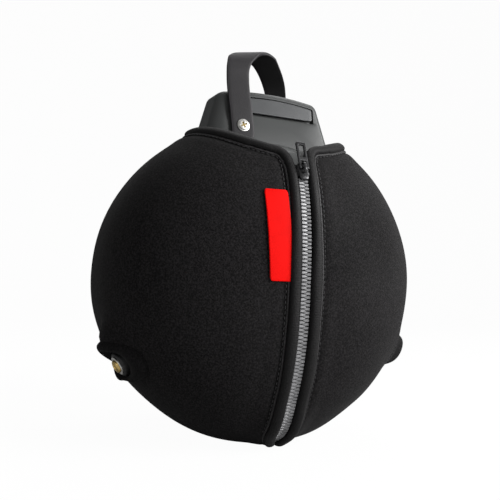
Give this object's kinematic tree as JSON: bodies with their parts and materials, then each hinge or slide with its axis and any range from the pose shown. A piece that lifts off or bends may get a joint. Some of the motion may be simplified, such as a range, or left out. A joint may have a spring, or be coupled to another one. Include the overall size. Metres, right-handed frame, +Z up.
{
  "type": "grill carry bag",
  "caption": "Round zip-up neoprene carry bag for a portable grill, standing upright, with a neck through its mouth, a screwed leather carry strap and side ports.",
  "frame": {"origin": "middle of the base on the ground, under the middle of the bag's round body", "axes": "+Z up, the zip faces -Y, +X to the right as seen from the zip's side"},
  "size_m": [0.3211, 0.2541, 0.3877],
  "materials": {
    "neoprene": "matte",
    "binding": "matte",
    "zip": "satin",
    "slider": "gloss",
    "label": "satin",
    "neck": "satin",
    "plate": "satin",
    "strap": "satin",
    "steel": "polished",
    "boss": "satin",
    "brass": "polished"
  },
  "bodies": {
    "bag": {"panel_left": "neoprene", "panel_right": "neoprene", "binding_left": "binding", "binding_right": "binding", "zip_left": "zip", "zip_right": "zip", "zip_slider": "slider", "label": "label", "neck": "neck", "neck_plate": "plate", "strap": "strap", "strap_screw_front": "steel", "strap_screw_back": "steel", "port_rim_left": "neoprene", "port_rim_right": "neoprene", "port_boss_left": "boss", "port_boss_right": "boss", "port_screw_left": "brass", "port_screw_right": "brass"},
    "pull": {"zip_pull": "slider"}
  },
  "joints": [
    {"name": "pull_hinge", "type": "hinge", "parent": "bag", "child": "pull", "pos_m": [0, -0.11441, 0.25801], "axis": [1, 0, 0], "range_deg": [0, 165]}
  ]
}
